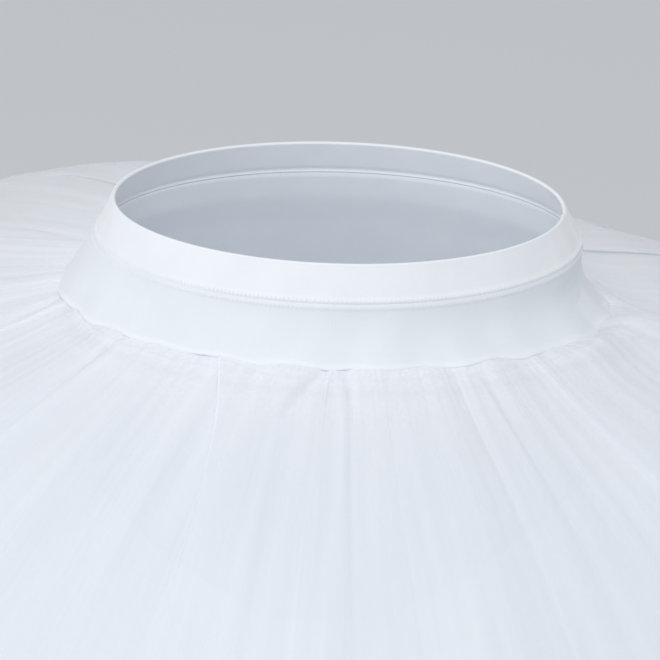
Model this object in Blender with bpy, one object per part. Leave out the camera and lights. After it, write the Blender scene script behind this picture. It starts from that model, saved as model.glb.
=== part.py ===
"""Ballet tutu: a folded waistband, a flared basque, briefs, and four gathered layers of net.

Units are metres, +Z is up and the front faces -Y. The origin is the centre of the waist opening, in the
plane of the waistband's top edge, where the wearer's waist holds the tutu.

Every piece is a closed wall worked out from rings round the body. A place on a ring is its turn: 0 at the
centre front, a quarter turn at the wearer's left side (+X), half a turn at the centre back. A net layer
lies on the briefs with its heading, turns out at its seam and runs outwards on a circular arc, which
droops more at the front than at the back. Its gathers are a wave across that arc, which grows from
nothing at the seam to its full height at the hem. The main folds are broader and run through all layers.
"""

import math

import bmesh
import bpy
import numpy as np

MM = 0.001
FULL_TURN = 2.0 * math.pi

# Gap kept between two sewn pieces, and between a net's heading and the briefs that carry it.
SEAM_GAP = 0.3 * MM
HEADING_GAP = 0.6 * MM

# Waistband: a strip folded over elastic, wider at its lower edge because the body widens there. The tilt
# is how much higher its lower edge lies at the wearer's left, and how much lower at the right.
WAIST_HALF_WIDTH = 130.0 * MM
WAIST_HALF_DEPTH = 93.5 * MM
BAND_HEIGHT = 21.3 * MM
BAND_TILT = 0.8 * MM
BAND_FOOT_HALF_WIDTH = 140.5 * MM
BAND_FOOT_HALF_DEPTH = 101.0 * MM
BAND_WALL = 2.5 * MM
BAND_FOLD_RADIUS = 1.25 * MM
BAND_COLUMNS = 88

# Basque: the yoke that flares from the band over the first net's heading. Its edge dips at both sides,
# and its flare is hollower at the wearer's left than at the right.
BASQUE_WALL = 1.2 * MM
BASQUE_EDGE = 53.1 * MM
BASQUE_EDGE_TILT = 0.8 * MM
BASQUE_EDGE_SIDE_DIP = 3.4 * MM
BASQUE_EDGE_HALF_WIDTH = 160.7 * MM
BASQUE_EDGE_HALF_DEPTH = 114.5 * MM
BASQUE_FLARE_POWER = 2.0
BASQUE_FLARE_POWER_SWING = 0.5
BASQUE_SCALLOP = 1.3 * MM
BASQUE_COLUMNS = 108
BASQUE_ROWS = 4

# Briefs: they carry every net layer. Sections of their outer face, from the band down.
BRIEFS_WALL = 1.0 * MM
BRIEFS_SECTIONS = (
    # below the waist, half width, front depth, back depth, all in mm
    {"below": 20.0, "half_width": 137.9, "front": 98.8, "back": 98.8},
    {"below": 38.0, "half_width": 140.4, "front": 101.0, "back": 101.6},
    {"below": 55.0, "half_width": 147.5, "front": 104.5, "back": 107.0},
    {"below": 100.0, "half_width": 160.0, "front": 108.0, "back": 118.0},
    {"below": 150.0, "half_width": 166.0, "front": 104.0, "back": 124.0},
    {"below": 200.0, "half_width": 161.0, "front": 90.0, "back": 117.0},
    {"below": 235.0, "half_width": 150.0, "front": 72.0, "back": 98.0},
)
BRIEFS_COLUMNS = 60
# The sections that have a level ring of their own, below the top one; then rings down to the leg line.
BRIEFS_LEVEL_SECTIONS = BRIEFS_SECTIONS[1:4]
BRIEFS_LEG_RINGS = 3
LEG_LINE_SIDE = 138.0 * MM
LEG_LINE_FRONT = 218.0 * MM
LEG_LINE_BACK = 226.0 * MM
LEG_LINE_POWER = 1.5
GUSSET_COLUMNS = 7
GUSSET_ROWS = 6
GUSSET_DROP = 266.0 * MM
GUSSET_HALF_WIDTH = 36.0 * MM

# Droop of the net round the body: its slope below the horizontal where it leaves the seam and at its hem.
DROOP = (
    {"turn_deg": 0, "seam_deg": 21, "hem_deg": 41},
    {"turn_deg": 30, "seam_deg": 19, "hem_deg": 41},
    {"turn_deg": 60, "seam_deg": 10, "hem_deg": 40},
    {"turn_deg": 90, "seam_deg": 2, "hem_deg": 38},
    {"turn_deg": 120, "seam_deg": 6, "hem_deg": 40},
    {"turn_deg": 150, "seam_deg": 9, "hem_deg": 42},
    {"turn_deg": 180, "seam_deg": 4, "hem_deg": 37},
    {"turn_deg": 210, "seam_deg": 2, "hem_deg": 32},
    {"turn_deg": 240, "seam_deg": 3, "hem_deg": 32},
    {"turn_deg": 270, "seam_deg": 3, "hem_deg": 33},
    {"turn_deg": 300, "seam_deg": 11, "hem_deg": 39},
    {"turn_deg": 330, "seam_deg": 18, "hem_deg": 41},
)

# Net layers, from the top one down. Each is sewn lower on the briefs, is cut shorter and droops more.
NET_WALL = 1.0 * MM
HEADING_HEIGHT = 8.0 * MM
NET_LAYERS = (
    # "seam_drop" is the seam's distance below the basque's edge; "rows" are the places along the run where
    # the wall has a ring, as shares of its length
    {"node": "net_1_top", "seam_drop": 3.4, "length": 340, "waves": 48, "hem_wave": 10.0,
     "extra_seam_deg": 0, "extra_hem_deg": 0, "rows": (0.18, 0.52, 1.0)},
    {"node": "net_2", "seam_drop": 19.5, "length": 325, "waves": 29, "hem_wave": 8.0,
     "extra_seam_deg": 1, "extra_hem_deg": 4, "rows": (0.42, 1.0)},
    {"node": "net_3", "seam_drop": 35.0, "length": 300, "waves": 28, "hem_wave": 8.0,
     "extra_seam_deg": 2, "extra_hem_deg": 8, "rows": (0.42, 1.0)},
    {"node": "net_4", "seam_drop": 50.5, "length": 265, "waves": 27, "hem_wave": 8.0,
     "extra_seam_deg": 3, "extra_hem_deg": 12, "rows": (0.42, 1.0)},
)
COLUMNS_PER_WAVE = 5
# Share of the run over which the gathers open out.
GATHER_OPENING = 0.4
# Main folds, which run through all layers: a ridge, or a trough where the height is negative.
MAIN_FOLDS = (
    {"turn_deg": 8, "width_deg": 3.0, "height": -4.0},
    {"turn_deg": 18, "width_deg": 5.0, "height": 6.0},
    {"turn_deg": 27, "width_deg": 3.0, "height": -5.0},
    {"turn_deg": 37, "width_deg": 4.5, "height": 5.0},
    {"turn_deg": 51, "width_deg": 5.0, "height": 5.0},
    {"turn_deg": 63, "width_deg": 3.5, "height": -4.0},
    {"turn_deg": 76, "width_deg": 5.5, "height": 4.5},
    {"turn_deg": 100, "width_deg": 5.0, "height": 5.5},
    {"turn_deg": 121, "width_deg": 6.0, "height": -5.0},
    {"turn_deg": 143, "width_deg": 5.0, "height": 6.0},
    {"turn_deg": 166, "width_deg": 6.0, "height": -5.0},
    {"turn_deg": 187, "width_deg": 5.0, "height": 6.0},
    {"turn_deg": 208, "width_deg": 6.0, "height": 5.0},
    {"turn_deg": 230, "width_deg": 5.0, "height": -5.0},
    {"turn_deg": 251, "width_deg": 6.0, "height": 5.5},
    {"turn_deg": 273, "width_deg": 4.5, "height": 5.0},
    {"turn_deg": 291, "width_deg": 4.0, "height": -4.5},
    {"turn_deg": 308, "width_deg": 5.0, "height": 5.5},
    {"turn_deg": 325, "width_deg": 3.5, "height": 4.0},
    {"turn_deg": 337, "width_deg": 3.0, "height": -4.0},
    {"turn_deg": 351, "width_deg": 5.0, "height": 6.5},
)
# Broad swells that all layers share: how many there are round the hem, their height there and their start.
SWELLS = (
    {"count": 7, "height": 5.0, "start_deg": 40},
    {"count": 11, "height": 3.0, "start_deg": 130},
)

WHITE_KNIT = {"name": "white_knit", "colour": (0.86, 0.88, 0.92, 1.0), "roughness": 0.62}
WHITE_NET = {"name": "white_net", "colour": (0.84, 0.87, 0.93, 1.0), "roughness": 0.75}


def turns(columns):
    """Evenly spaced turns for one ring, in radians."""
    return np.arange(columns) * FULL_TURN / columns


def oval(turn, half_width, front, back, below):
    """Points of a level oval round the body, with its own depth to the front and to the back."""
    depth = np.where(np.cos(turn) > 0, front, back)
    height = -np.broadcast_to(below, turn.shape)
    return np.stack([half_width * np.sin(turn), -depth * np.cos(turn), height], axis=-1)


def offset_ways(middle):
    """Ways to move a sheet's points so that the wall keeps its thickness round the bend at each ring.

    The sheet is rows of closed rings. Each span between two rings has a normal; a ring's way is the mean
    of the normals beside it, lengthened by the mitre of the bend.
    """
    spans = middle[1:] - middle[:-1]
    around = np.roll(middle, -1, axis=1) - np.roll(middle, 1, axis=1)
    normals = np.cross(spans, around[1:] + around[:-1])
    normals /= np.linalg.norm(normals, axis=-1, keepdims=True)
    before = np.concatenate([normals[:1], normals])
    after = np.concatenate([normals, normals[-1:]])
    ways = before + after
    ways /= np.linalg.norm(ways, axis=-1, keepdims=True)
    mitre = 1 / np.sum(ways * after, axis=-1, keepdims=True)
    return ways * mitre


def make_material(finish):
    """Principled material of a finish, made once and shared by the pieces that have it."""
    if finish["name"] in bpy.data.materials:
        return bpy.data.materials[finish["name"]]
    material = bpy.data.materials.new(finish["name"])
    material.use_nodes = True
    shader = material.node_tree.nodes["Principled BSDF"]
    shader.inputs["Base Color"].default_value = finish["colour"]
    shader.inputs["Roughness"].default_value = finish["roughness"]
    shader.inputs["Metallic"].default_value = 0.0
    return material


def add_piece(name, points, faces, finish):
    """Makes one named object from points and faces, with its faces turned outwards and shaded smooth."""
    mesh = bpy.data.meshes.new(name)
    mesh.from_pydata([tuple(point) for point in points], [], faces)
    shaped = bmesh.new()
    shaped.from_mesh(mesh)
    bmesh.ops.recalc_face_normals(shaped, faces=shaped.faces)
    shaped.to_mesh(mesh)
    shaped.free()
    mesh.materials.append(make_material(finish))
    mesh.shade_smooth()
    mesh.set_sharp_from_angle(angle=math.radians(50))
    piece = bpy.data.objects.new(name, mesh)
    bpy.context.scene.collection.objects.link(piece)
    return piece


def closed_wall(name, rings, finish):
    """Closed tube-like body through rings that go once round its wall's section."""
    rings = np.asarray(rings)
    count, columns = rings.shape[:2]
    faces = []
    for ring in range(count):
        following = (ring + 1) % count
        for column in range(columns):
            beside = (column + 1) % columns
            faces.append((
                ring * columns + column,
                ring * columns + beside,
                following * columns + beside,
                following * columns + column,
            ))
    return add_piece(name, rings.reshape(-1, 3), faces, finish)


def cloth_wall(name, middle, thickness, finish, level_top=False):
    """Wall of even thickness about a sheet's middle, closed along both edges, the top one cut level if asked."""
    ways = offset_ways(middle)
    if level_top:
        ways[0, :, 2] = 0.0
        ways[0] /= np.linalg.norm(ways[0], axis=-1, keepdims=True)
    offset = ways * thickness / 2
    rings = np.concatenate([middle + offset, (middle - offset)[::-1]])
    return closed_wall(name, rings, finish)


def band_foot(turn):
    """How far below the waist the band's lower edge lies."""
    return BAND_HEIGHT - BAND_TILT * np.sin(turn)


def basque_edge(turn):
    """How far below the waist the basque's lower edge lies, but for its scallops."""
    return BASQUE_EDGE + BASQUE_EDGE_TILT * np.sin(turn) + BASQUE_EDGE_SIDE_DIP * np.sin(turn) ** 4


def build_waistband():
    """Folded band: straight faces, and a half-round fold along its top edge."""
    turn = turns(BAND_COLUMNS)
    foot = band_foot(turn)
    fold = [math.radians(degrees) for degrees in (0, 45, 90, 135, 180)]
    section = [(0.0, foot)]
    section += [
        (BAND_FOLD_RADIUS * (1 - math.cos(angle)), BAND_FOLD_RADIUS * (1 - math.sin(angle)))
        for angle in fold
    ]
    section += [(BAND_WALL, foot)]
    rings = []
    for inset, below in section:
        share = below / foot
        half_width = WAIST_HALF_WIDTH + (BAND_FOOT_HALF_WIDTH - WAIST_HALF_WIDTH) * share - inset
        half_depth = WAIST_HALF_DEPTH + (BAND_FOOT_HALF_DEPTH - WAIST_HALF_DEPTH) * share - inset
        rings.append(oval(turn, half_width, half_depth, half_depth, below))
    return closed_wall("waistband", rings, WHITE_KNIT)


def basque_scallops(turn):
    """Small uneven scallops of the basque's edge, where the gathers below pull at it, from -1 to 1."""
    return 0.6 * np.sin(17 * turn + 0.8 * np.sin(3 * turn)) + 0.4 * np.sin(26 * turn + 1.3)


def build_basque():
    """Yoke whose flare grows towards its edge, which has shallow scallops."""
    turn = turns(BASQUE_COLUMNS)
    top = band_foot(turn) + SEAM_GAP
    power = BASQUE_FLARE_POWER + BASQUE_FLARE_POWER_SWING * np.sin(turn)
    rows = []
    for share in np.linspace(0.0, 1.0, BASQUE_ROWS + 1):
        flare = share ** power
        half_width = BAND_FOOT_HALF_WIDTH + (BASQUE_EDGE_HALF_WIDTH - BAND_FOOT_HALF_WIDTH) * flare
        half_depth = BAND_FOOT_HALF_DEPTH + (BASQUE_EDGE_HALF_DEPTH - BAND_FOOT_HALF_DEPTH) * flare
        scallop = BASQUE_SCALLOP * share ** 4 * basque_scallops(turn)
        below = top + (basque_edge(turn) - top) * share + scallop
        inset = BASQUE_WALL / 2
        rows.append(oval(turn, half_width - inset + scallop, half_depth - inset, half_depth - inset, below))
    return cloth_wall("basque", np.array(rows), BASQUE_WALL, WHITE_KNIT, level_top=True)


def briefs_section(below):
    """Half width, front depth and back depth of the briefs' outer face at distances below the waist."""
    levels = [row["below"] * MM for row in BRIEFS_SECTIONS]
    sizes = []
    for column in ("half_width", "front", "back"):
        sizes.append(np.interp(below, levels, [row[column] * MM for row in BRIEFS_SECTIONS]))
    return sizes


def on_briefs(turn, below, outwards=0.0):
    """Points on the briefs' outer face, moved outwards."""
    half_width, front, back = briefs_section(below)
    return oval(turn, half_width + outwards, front + outwards, back + outwards, below)


def leg_line(turn):
    """How far below the waist the briefs end: high at the sides, low where the gusset starts."""
    gusset_turn = (GUSSET_COLUMNS // 2) * FULL_TURN / BRIEFS_COLUMNS
    from_side = np.abs(np.cos(turn)) / math.cos(gusset_turn)
    low = np.where(np.cos(turn) > 0, LEG_LINE_FRONT, LEG_LINE_BACK)
    return LEG_LINE_SIDE + (low - LEG_LINE_SIDE) * np.minimum(from_side, 1.0) ** (2 * LEG_LINE_POWER)


def gusset_strip(front_edge, back_edge):
    """Rows of points between the front and back edges, which dip and narrow to the gusset's middle."""
    rows = []
    for share in np.linspace(0.0, 1.0, GUSSET_ROWS + 1)[1:-1]:
        bend = math.sin(math.pi * share)
        row = front_edge * (1 - share) + back_edge * share
        edge_half_width = abs(row[0, 0])
        narrowing = 1 + (GUSSET_HALF_WIDTH / edge_half_width - 1) * bend ** 0.7
        row[:, 0] *= narrowing
        straight = -row[:, 2]
        row[:, 2] = -(straight + (GUSSET_DROP - straight) * bend ** 0.8)
        rows.append(row)
    return rows


def build_briefs():
    """Briefs as one surface: rings down to the leg line, and a gusset strip that joins front to back."""
    turn = turns(BRIEFS_COLUMNS)
    points = [on_briefs(turn, band_foot(turn) + SEAM_GAP)]
    for section in BRIEFS_LEVEL_SECTIONS:
        level = np.full_like(turn, section["below"] * MM)
        points.append(on_briefs(turn, level))
    for share in np.linspace(0.0, 1.0, BRIEFS_LEG_RINGS + 1)[1:]:
        points.append(on_briefs(turn, level + (leg_line(turn) - level) * share))
    rows = len(points) - 1
    faces = []
    for row in range(rows):
        for column in range(BRIEFS_COLUMNS):
            beside = (column + 1) % BRIEFS_COLUMNS
            faces.append((
                row * BRIEFS_COLUMNS + column,
                row * BRIEFS_COLUMNS + beside,
                (row + 1) * BRIEFS_COLUMNS + beside,
                (row + 1) * BRIEFS_COLUMNS + column,
            ))
    half = GUSSET_COLUMNS // 2
    front = [column % BRIEFS_COLUMNS for column in range(-half, half + 1)]
    back = [BRIEFS_COLUMNS // 2 - column for column in range(-half, half + 1)]
    edge = points[-1]
    strip = gusset_strip(edge[front], edge[back])
    last_ring = rows * BRIEFS_COLUMNS
    first_free = last_ring + BRIEFS_COLUMNS
    index_rows = [[last_ring + column for column in front]]
    for row in range(len(strip)):
        index_rows.append([first_free + row * GUSSET_COLUMNS + column for column in range(GUSSET_COLUMNS)])
    index_rows.append([last_ring + column for column in back])
    for upper, lower in zip(index_rows, index_rows[1:]):
        for column in range(GUSSET_COLUMNS - 1):
            faces.append((upper[column], upper[column + 1], lower[column + 1], lower[column]))
    briefs = add_piece("briefs", np.concatenate(points + strip), faces, WHITE_KNIT)
    solidify = briefs.modifiers.new("cloth thickness", "SOLIDIFY")
    solidify.thickness = BRIEFS_WALL
    solidify.offset = -1.0
    solidify.use_even_offset = True
    return briefs


def droop_at(turn, column):
    """A droop slope at each turn, in radians, eased between the table's turns."""
    steps = turn / FULL_TURN * len(DROOP)
    before = np.floor(steps).astype(int) % len(DROOP)
    share = steps - np.floor(steps)
    eased = share * share * (3 - 2 * share)
    slopes = np.radians([row[column] for row in DROOP])
    return slopes[before] * (1 - eased) + slopes[(before + 1) % len(DROOP)] * eased


def gathers(turn, waves):
    """Height of the gathers round a ring, from -1 to 1, uneven in width and in height."""
    phase = waves * turn + 0.9 * np.sin(3 * turn + 0.4 * waves) + 0.7 * np.sin(8 * turn + waves)
    return np.sin(phase) * (0.78 + 0.22 * np.sin(5 * turn + 2.1 * waves))


def main_folds(turn):
    """Height of the main folds at the hem: a smooth ridge or trough for each row of the table."""
    total = np.zeros_like(turn)
    for fold in MAIN_FOLDS:
        away = np.degrees(turn) - fold["turn_deg"]
        away = (away + 180) % 360 - 180
        total += fold["height"] * MM * np.exp(-((away / fold["width_deg"]) ** 2))
    return total


def swells(turn):
    """Height of the broad swells at the hem."""
    total = np.zeros_like(turn)
    for swell in SWELLS:
        total += swell["height"] * MM * np.sin(swell["count"] * turn + math.radians(swell["start_deg"]))
    return total


def net_middle(layer):
    """Middle of a net layer: its heading on the briefs, its seam, and rings along the run to the hem.

    The run is a circular arc in the upright plane of its turn. Its slope goes from the seam's droop to
    the hem's, so with slope a at the seam and a + k at the hem, a share f of the length L lies
    L (sin(a + k f) - sin a) / k outwards and L (cos a - cos(a + k f)) / k down.
    """
    turn = turns(layer["waves"] * COLUMNS_PER_WAVE)
    seam_below = basque_edge(turn) + layer["seam_drop"] * MM
    length = layer["length"] * MM
    off_briefs = HEADING_GAP + NET_WALL / 2
    heading = on_briefs(turn, seam_below - HEADING_HEIGHT, off_briefs)
    seam = on_briefs(turn, seam_below, off_briefs)
    start = droop_at(turn, "seam_deg") + math.radians(layer["extra_seam_deg"])
    turning = droop_at(turn, "hem_deg") + math.radians(layer["extra_hem_deg"]) - start
    ways_out = np.stack([np.sin(turn), -np.cos(turn), np.zeros_like(turn)], axis=-1)
    rings = [heading, seam]
    for share in layer["rows"]:
        slope = start + turning * share
        outwards = length * (np.sin(slope) - np.sin(start)) / turning
        down = length * (np.cos(start) - np.cos(slope)) / turning
        opened = (1 - math.exp(-share / GATHER_OPENING)) / (1 - math.exp(-1 / GATHER_OPENING))
        wave = layer["hem_wave"] * MM * gathers(turn, layer["waves"]) + main_folds(turn)
        across = wave * opened + swells(turn) * share
        ring = seam + ways_out * (outwards + across * np.sin(slope))[:, None]
        ring[:, 2] += across * np.cos(slope) - down
        rings.append(ring)
    return np.array(rings)


def build_nets():
    """The gathered layers of net, each a wall of its own."""
    for layer in NET_LAYERS:
        cloth_wall(layer["node"], net_middle(layer), NET_WALL, WHITE_NET)


def clear_scene():
    """Removes whatever the scene starts with."""
    for existing in list(bpy.data.objects):
        bpy.data.objects.remove(existing, do_unlink=True)


def main():
    """Builds the tutu's pieces from the waist down."""
    clear_scene()
    build_waistband()
    build_basque()
    build_briefs()
    build_nets()


main()
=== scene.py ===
"""Looks of a white ballet tutu: knitted waistband, basque and briefs, and gathered layers of soft net.

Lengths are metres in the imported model's frame: +Z is up, the front faces -Y, and the origin is the centre of
the waist opening. A place round the body is its turn: 0 at the centre front, a quarter turn at the wearer's
left side (+X). Every piece is a grid of points worked out as whole arrays from its own sizes.
"""

from __future__ import annotations

import logging
import math
from dataclasses import dataclass
from enum import Enum

import bpy
import numpy as np
from mathutils import Matrix, Vector


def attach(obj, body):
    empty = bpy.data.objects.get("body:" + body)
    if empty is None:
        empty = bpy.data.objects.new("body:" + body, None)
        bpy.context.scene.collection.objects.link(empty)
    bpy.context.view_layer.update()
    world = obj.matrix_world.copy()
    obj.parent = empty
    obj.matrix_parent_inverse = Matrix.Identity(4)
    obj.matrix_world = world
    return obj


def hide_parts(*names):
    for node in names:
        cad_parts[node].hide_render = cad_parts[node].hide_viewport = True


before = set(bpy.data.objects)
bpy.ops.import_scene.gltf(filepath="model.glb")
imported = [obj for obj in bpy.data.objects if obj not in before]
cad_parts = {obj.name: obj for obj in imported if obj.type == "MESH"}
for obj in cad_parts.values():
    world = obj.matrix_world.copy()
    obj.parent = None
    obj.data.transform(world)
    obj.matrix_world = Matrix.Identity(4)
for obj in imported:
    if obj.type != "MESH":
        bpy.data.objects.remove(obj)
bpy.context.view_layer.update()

LOG = logging.getLogger("tutu")
MM = 0.001
FULL_TURN = 2.0 * math.pi
BODY = "root"
# Stitches in each row of the cover stitch, all round
STITCHES = 356
# Length of cloth round the body in each knitted piece's pattern
BAND_GIRTH = 0.74
BASQUE_GIRTH = 0.86
BRIEFS_GIRTH = 0.14 * FULL_TURN
# How far below the basque's edge the top net is sewn on
TOP_SEAM_DROP = 3.4 * MM


# ----------------------------------------------------------------------------------------------------------
# Shapes
# ----------------------------------------------------------------------------------------------------------


def turns(columns: int, front_share: float = 0.0) -> np.ndarray:
    """Turns round the body, in radians, the first one repeated at the end as a full turn.

    Args:
        columns: Number of steps.
        front_share: How much closer the steps lie in front: they shrink by this share there and grow by it
            behind, because a sine of it is taken off the even turns.

    Returns:
        The turns.
    """
    even = np.linspace(0.0, FULL_TURN, columns + 1)
    return even - front_share * np.sin(even)


def oval(
    turn: np.ndarray, half_width: np.ndarray, front: np.ndarray, back: np.ndarray, below: np.ndarray
) -> np.ndarray:
    """Points of a level oval: half width times the sine sideways, depth times the cosine to front or back.

    Args:
        turn: Turns, of any shape.
        half_width: Half width of the oval, which broadcasts with the turns.
        front: Depth in front of the origin.
        back: Depth behind it.
        below: Distance below the waist.

    Returns:
        Points, with one more axis of 3 than the turns.
    """
    depth = np.where(np.cos(turn) > 0, front, back)
    x = half_width * np.sin(turn)
    y = -depth * np.cos(turn)
    return np.stack(np.broadcast_arrays(x, y, -np.asarray(below, float)), axis=-1)


def uneven(turn: np.ndarray, seed: int, lowest: int, highest: int) -> np.ndarray:
    """Smooth unevenness round the body: a sum of sines of whole counts, with seeded heights and starts.

    Args:
        turn: Turns at which it is wanted.
        seed: Seed of the draw.
        lowest: Smallest count of waves round the body.
        highest: Largest count.

    Returns:
        Heights with a spread of about 1, shaped as the turns.
    """
    draw = np.random.default_rng(seed)
    counts = np.arange(lowest, highest + 1)
    heights = draw.normal(size=counts.size) / math.sqrt(counts.size)
    starts = draw.uniform(0.0, FULL_TURN, counts.size)
    waves = np.sin(turn[..., None] * counts + starts)
    return math.sqrt(2.0) * (waves * heights).sum(axis=-1)


def bump(away: np.ndarray, left: float, right: float) -> np.ndarray:
    """Smooth bell of height 1 whose width differs on its two sides."""
    width = np.where(away < 0, left, right)
    return np.exp(-((away / width) ** 2))


def degrees_away(turn: np.ndarray, centre_deg: np.ndarray | float) -> np.ndarray:
    """Signed distance of turns from a centre, in degrees, from -180 to 180."""
    return (np.degrees(turn) - centre_deg + 180.0) % 360.0 - 180.0


def across_normals(points: np.ndarray) -> np.ndarray:
    """Unit normals of a grid that goes once round: the cross of its way down and its way round.

    Args:
        points: Rows of rings, whose last column repeats the first.

    Returns:
        Normals shaped as the points, outwards on a tube whose rows go down.
    """
    along = np.gradient(points, axis=0)
    ring = points[:, :-1]
    around = np.roll(ring, -1, axis=1) - np.roll(ring, 1, axis=1)
    around = np.concatenate([around, around[:, :1]], axis=1)
    normal = np.cross(along, around)
    return normal / np.maximum(np.linalg.norm(normal, axis=-1, keepdims=True), 1e-12)


def link(name: str, mesh: bpy.types.Mesh) -> bpy.types.Object:
    """Makes a mesh smooth and puts it into the scene as an object at the origin.

    Args:
        name: Name of the object.
        mesh: Its mesh.

    Returns:
        The object.
    """
    mesh.polygons.foreach_set("use_smooth", np.ones(len(mesh.polygons), bool))
    mesh.update(calc_edges=True)
    piece = bpy.data.objects.new(name, mesh)
    bpy.context.scene.collection.objects.link(piece)
    return piece


def quad_mesh(name: str, points: np.ndarray, quads: np.ndarray, uv: np.ndarray) -> bpy.types.Object:
    """Object from points, quads and a UV place for each quad's corner.

    Args:
        name: Name of the object and its mesh.
        points: Points, N by 3.
        quads: Point numbers, M by 4, anticlockwise seen from outside.
        uv: UV places in metres of cloth, M by 4 by 2.

    Returns:
        The object.
    """
    mesh = bpy.data.meshes.new(name)
    mesh.vertices.add(len(points))
    mesh.vertices.foreach_set("co", np.ascontiguousarray(points, np.float32).ravel())
    mesh.loops.add(quads.size)
    mesh.loops.foreach_set("vertex_index", np.ascontiguousarray(quads, np.int32).ravel())
    mesh.polygons.add(len(quads))
    mesh.polygons.foreach_set("loop_start", np.arange(0, quads.size, 4, dtype=np.int32))
    layer = mesh.uv_layers.new(name="cloth")
    layer.data.foreach_set("uv", np.ascontiguousarray(uv, np.float32).ravel())
    mesh.validate()
    return link(name, mesh)


def round_mesh(
    name: str, points: np.ndarray, u: np.ndarray, v: np.ndarray, closed: bool = False
) -> bpy.types.Object:
    """Object from a grid that goes once round the body.

    The last column repeats the first one's place and is dropped, but its UV is kept, so that a pattern
    doesn't run back across the join. A closed grid joins its last row to its first.

    Args:
        name: Name of the object.
        points: Rows by columns by 3, rows going down outside.
        u: Cloth position round the body, rows by columns, in metres.
        v: Cloth position down the piece, rows by columns, in metres.
        closed: Whether the rows go round a wall's section.

    Returns:
        The object.
    """
    rows, columns = points.shape[0], points.shape[1] - 1
    place = np.stack([np.broadcast_to(u, points.shape[:2]), np.broadcast_to(v, points.shape[:2])], axis=-1)
    number = np.arange(rows * columns).reshape(rows, columns)
    beside = np.roll(number, -1, axis=1)
    under = np.roll(number, -1, axis=0)
    under_beside = np.roll(under, -1, axis=1)
    quads = np.stack([number, under, under_beside, beside], axis=-1)
    place_under = np.roll(place, -1, axis=0)
    uv = np.stack([place[:, :-1], place_under[:, :-1], place_under[:, 1:], place[:, 1:]], axis=2)
    last = rows if closed else rows - 1
    places = points[:, :-1].reshape(-1, 3)
    return quad_mesh(name, places, quads[:last].reshape(-1, 4), uv[:last].reshape(-1, 4, 2))


def rounded_wall(
    name: str, middle: np.ndarray, half_wall: np.ndarray, u: np.ndarray, v: np.ndarray, arc_rows: int = 4
) -> bpy.types.Object:
    """Closed wall about a sheet's middle, with both edges rounded.

    The outer face is the middle moved along its normals by half the wall, the inner face is moved the other
    way, and each edge is a half circle between the two, in the plane of the normal and the way off the edge.

    Args:
        name: Name of the object.
        middle: Rows by columns by 3, the last column repeating the first.
        half_wall: Half the wall's thickness at each row and column.
        u: Cloth position round the body.
        v: Cloth position down the piece.
        arc_rows: Rows of points in each rounded edge.

    Returns:
        The object.
    """
    half_wall = np.broadcast_to(half_wall, middle.shape[:2])[..., None]
    normal = across_normals(middle)
    angles = np.linspace(0.0, math.pi, arc_rows + 2)[1:-1]

    def edge(row: int, off: np.ndarray, turning: float) -> np.ndarray:
        """Half circle of rows at one edge.

        Args:
            row: The middle's row at that edge.
            off: Way off the edge.
            turning: 1 to start at the outer face, -1 to start at the inner one.

        Returns:
            Rows of points.
        """
        off = off / np.linalg.norm(off, axis=-1, keepdims=True)
        swing = [
            middle[row] + half_wall[row] * (turning * math.cos(angle) * normal[row] + math.sin(angle) * off)
            for angle in angles
        ]
        return np.array(swing)

    foot = edge(-1, middle[-1] - middle[-2], 1.0)
    head = edge(0, middle[0] - middle[1], -1.0)
    rings = np.concatenate([middle + normal * half_wall, foot, (middle - normal * half_wall)[::-1], head])
    u = np.broadcast_to(u, middle.shape[:2])
    v = np.broadcast_to(v, middle.shape[:2])
    sides = [v, np.repeat(v[-1:], arc_rows, 0), v[::-1], np.repeat(v[:1], arc_rows, 0)]
    rounds = [u, np.repeat(u[-1:], arc_rows, 0), u[::-1], np.repeat(u[:1], arc_rows, 0)]
    return round_mesh(name, rings, np.concatenate(rounds), np.concatenate(sides), closed=True)


def tubes(name: str, paths: np.ndarray, radius: np.ndarray, out: np.ndarray, sides: int) -> bpy.types.Object:
    """Many short threads as one object: a ring of points carried along each path, pinched shut at its ends.

    Args:
        name: Name of the object.
        paths: Threads by points by 3.
        radius: Radius at each point of a path.
        out: Way off the cloth for each thread's points, shaped as the paths.
        sides: Points in each ring.

    Returns:
        The object.
    """
    count, length = paths.shape[:2]
    way = np.gradient(paths, axis=1)
    way /= np.linalg.norm(way, axis=-1, keepdims=True)
    side = np.cross(way, out)
    side /= np.linalg.norm(side, axis=-1, keepdims=True)
    lift = np.cross(side, way)
    angle = np.arange(sides) * FULL_TURN / sides
    ring = np.cos(angle)[:, None] * side[:, :, None] + np.sin(angle)[:, None] * lift[:, :, None]
    points = paths[:, :, None] + np.asarray(radius)[None, :, None, None] * ring
    number = np.arange(count * length * sides).reshape(count, length, sides)
    beside = np.roll(number, -1, axis=2)
    quads = np.stack([number[:, :-1], beside[:, :-1], beside[:, 1:], number[:, 1:]], axis=-1).reshape(-1, 4)
    return quad_mesh(name, points.reshape(-1, 3), quads, np.zeros((len(quads), 4, 2)))


# ----------------------------------------------------------------------------------------------------------
# Shaders
# ----------------------------------------------------------------------------------------------------------


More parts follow.
